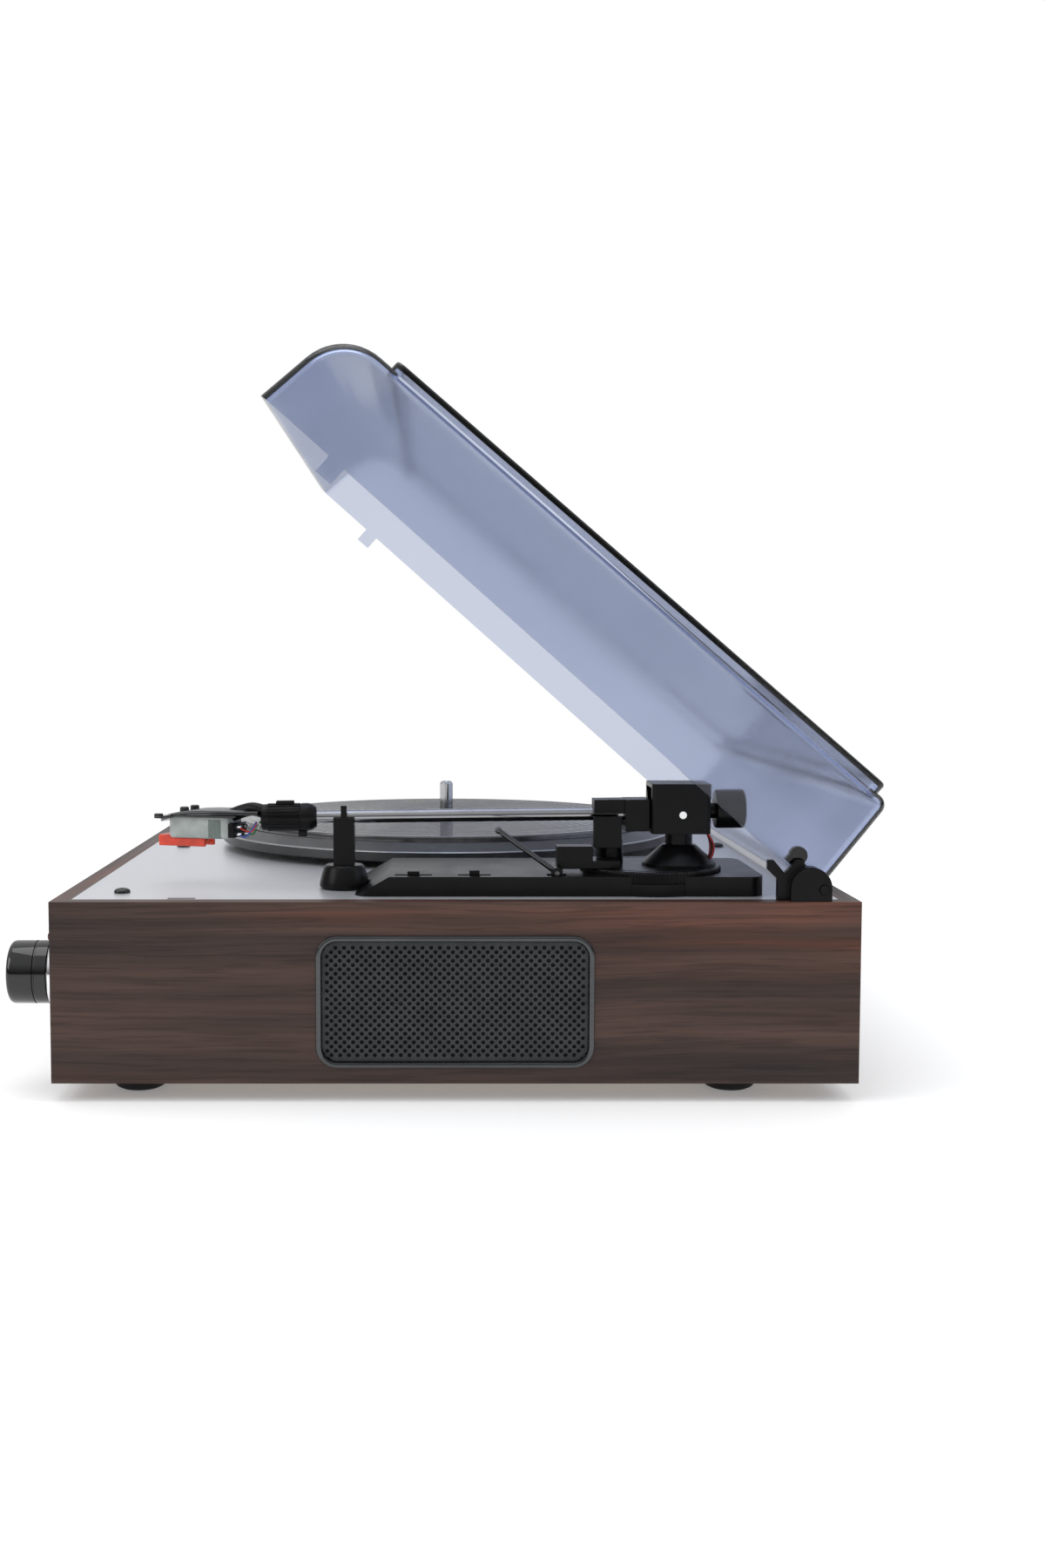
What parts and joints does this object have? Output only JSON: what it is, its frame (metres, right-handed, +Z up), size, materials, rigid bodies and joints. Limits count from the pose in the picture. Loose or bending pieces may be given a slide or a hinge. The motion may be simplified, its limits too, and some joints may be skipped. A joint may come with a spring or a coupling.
{
  "type": "turntable record player",
  "caption": "Belt-driven record player in a dark wood plinth with side speakers, straight arm, front volume knob and a hinged smoked dust cover, shown open.",
  "frame": {"origin": "on the surface that the feet stand on, under the middle of the whole player's outline box, with the cover open", "axes": "+X to the player's right, +Y to its back where the cover is hinged, +Z up"},
  "size_m": [0.422, 0.3749, 0.317],
  "materials": {
    "walnut_veneer": "satin dark brown veneer with horizontal grain",
    "raw_board": "unfinished fibreboard",
    "deck_foil": "satin silver grey",
    "black_rubber": "matte",
    "screw_steel": "zinc plated",
    "black_screw": "black",
    "motor_steel": "plain",
    "brass_part": "machined",
    "black_plastic": "fine texture",
    "gloss_black": "gloss",
    "grey_metal": "dark metallic grey",
    "grille_steel": "dark grey, perforated",
    "cone_paper": "matte black",
    "bright_chrome": "polished",
    "lamp_lens": "tinted",
    "circuit": "circuit board",
    "cast_platter": "black, turned rim",
    "cartridge_shell": "pale grey",
    "red_guard": "translucent red",
    "smoked_clear": "smoked, clear"
  },
  "bodies": {
    "plinth": {"rubber_feet": "black_rubber", "base_screws": "screw_steel", "deck_screws": "black_screw", "front_wall": "walnut_veneer", "back_wall": "walnut_veneer", "left_wall": "walnut_veneer", "right_wall": "walnut_veneer", "corner_cleats": "raw_board", "floor_panel": "raw_board", "drive_motor": "motor_steel", "motor_grommets": "black_rubber", "drive_belt": "black_rubber", "socket_plate": "black_plastic", "line_out_sockets": "bright_chrome", "power_inlet": "gloss_black", "machine_screws": "screw_steel", "deck_board": "deck_foil", "speaker_bezels": "grey_metal", "speaker_grilles": "grille_steel", "speaker_frames": "motor_steel", "speaker_magnets": "motor_steel", "speaker_cones": "cone_paper", "volume_control": "black_plastic", "knob_ring": "bright_chrome", "power_lamp": "lamp_lens", "amplifier_board": "circuit", "spindle_bearing": "black_plastic", "arm_panel": "black_plastic", "switch_cases": "black_plastic", "arm_base": "black_plastic", "arm_pedestal": "black_plastic", "pivot_bearing": "bright_chrome", "arm_rest": "black_plastic", "cue_housing": "black_plastic", "lever_mount": "black_plastic", "hinge_bases": "black_plastic"},
    "platter": {"platter": "cast_platter", "platter_mat": "black_rubber", "spindle": "bright_chrome"},
    "motor_rotor": {"motor_shaft": "motor_steel", "motor_pulley": "brass_part"},
    "volume_knob": {"volume_knob": "gloss_black"},
    "speed_lever": {"speed_lever": "black_plastic"},
    "auto_stop_lever": {"auto_stop_lever": "black_plastic"},
    "cue_lever": {"cue_lever": "bright_chrome"},
    "cue_platform": {"cue_platform": "black_plastic"},
    "arm_yoke": {"arm_yoke": "black_plastic", "pivot_pins": "bright_chrome"},
    "arm": {"arm_holder": "black_plastic", "arm_tube": "bright_chrome", "counterweight": "black_plastic", "head_collar": "black_plastic", "headshell": "gloss_black", "cartridge": "cartridge_shell", "stylus_guard": "red_guard", "stylus": "bright_chrome"},
    "cover": {"dust_cover": "smoked_clear", "hinge_leaves": "black_plastic", "hinge_pins": "bright_chrome"}
  },
  "joints": [
    {"name": "cover_hinge", "type": "hinge", "parent": "plinth", "child": "cover", "pos_m": [0, 0.1595, 0.09], "axis": [-1, 0, 0], "range_deg": [-41.6, 20]},
    {"name": "platter_spin", "type": "hinge", "parent": "plinth", "child": "platter", "pos_m": [-0.018, 0.003, 0.0925], "axis": [0, 0, -1], "continuous": true},
    {"name": "motor_spin", "type": "hinge", "parent": "plinth", "child": "motor_rotor", "pos_m": [-0.09, -0.047, 0.0925], "axis": [0, 0, -1], "continuous": true},
    {"name": "volume_turn", "type": "hinge", "parent": "plinth", "child": "volume_knob", "pos_m": [0.182, -0.175, 0.0505], "axis": [0, 1, 0], "range_deg": [0, 300]},
    {"name": "speed_select", "type": "slide", "parent": "plinth", "child": "speed_lever", "axis": [0, 1, 0], "range_m": [-0.004, 0.004]},
    {"name": "auto_stop_slide", "type": "slide", "parent": "plinth", "child": "auto_stop_lever", "axis": [0, 1, 0], "range_m": [-0.003, 0.003]},
    {"name": "cue_lever_turn", "type": "hinge", "parent": "plinth", "child": "cue_lever", "pos_m": [0.187, 0.049, 0.0945], "axis": [1, 0, 0], "range_deg": [0, 30]},
    {"name": "cue_lift", "type": "slide", "parent": "plinth", "child": "cue_platform", "axis": [0, 0, 1], "range_m": [-0.0045, 0]},
    {"name": "arm_swing", "type": "hinge", "parent": "plinth", "child": "arm_yoke", "pos_m": [0.166, 0.1045, 0.1185], "axis": [0, 0, -1], "range_deg": [0, 44]},
    {"name": "arm_lift", "type": "hinge", "parent": "arm_yoke", "child": "arm", "pos_m": [0.166, 0.1045, 0.1185], "axis": [-1, 0, 0], "range_deg": [0, 12]}
  ],
  "couplings": [
    {"joint": "motor_spin", "follows": "platter_spin", "ratio": 12.4},
    {"joint": "cue_lift", "follows": "cue_lever_turn", "m_per_rad": -0.0085944}
  ]
}
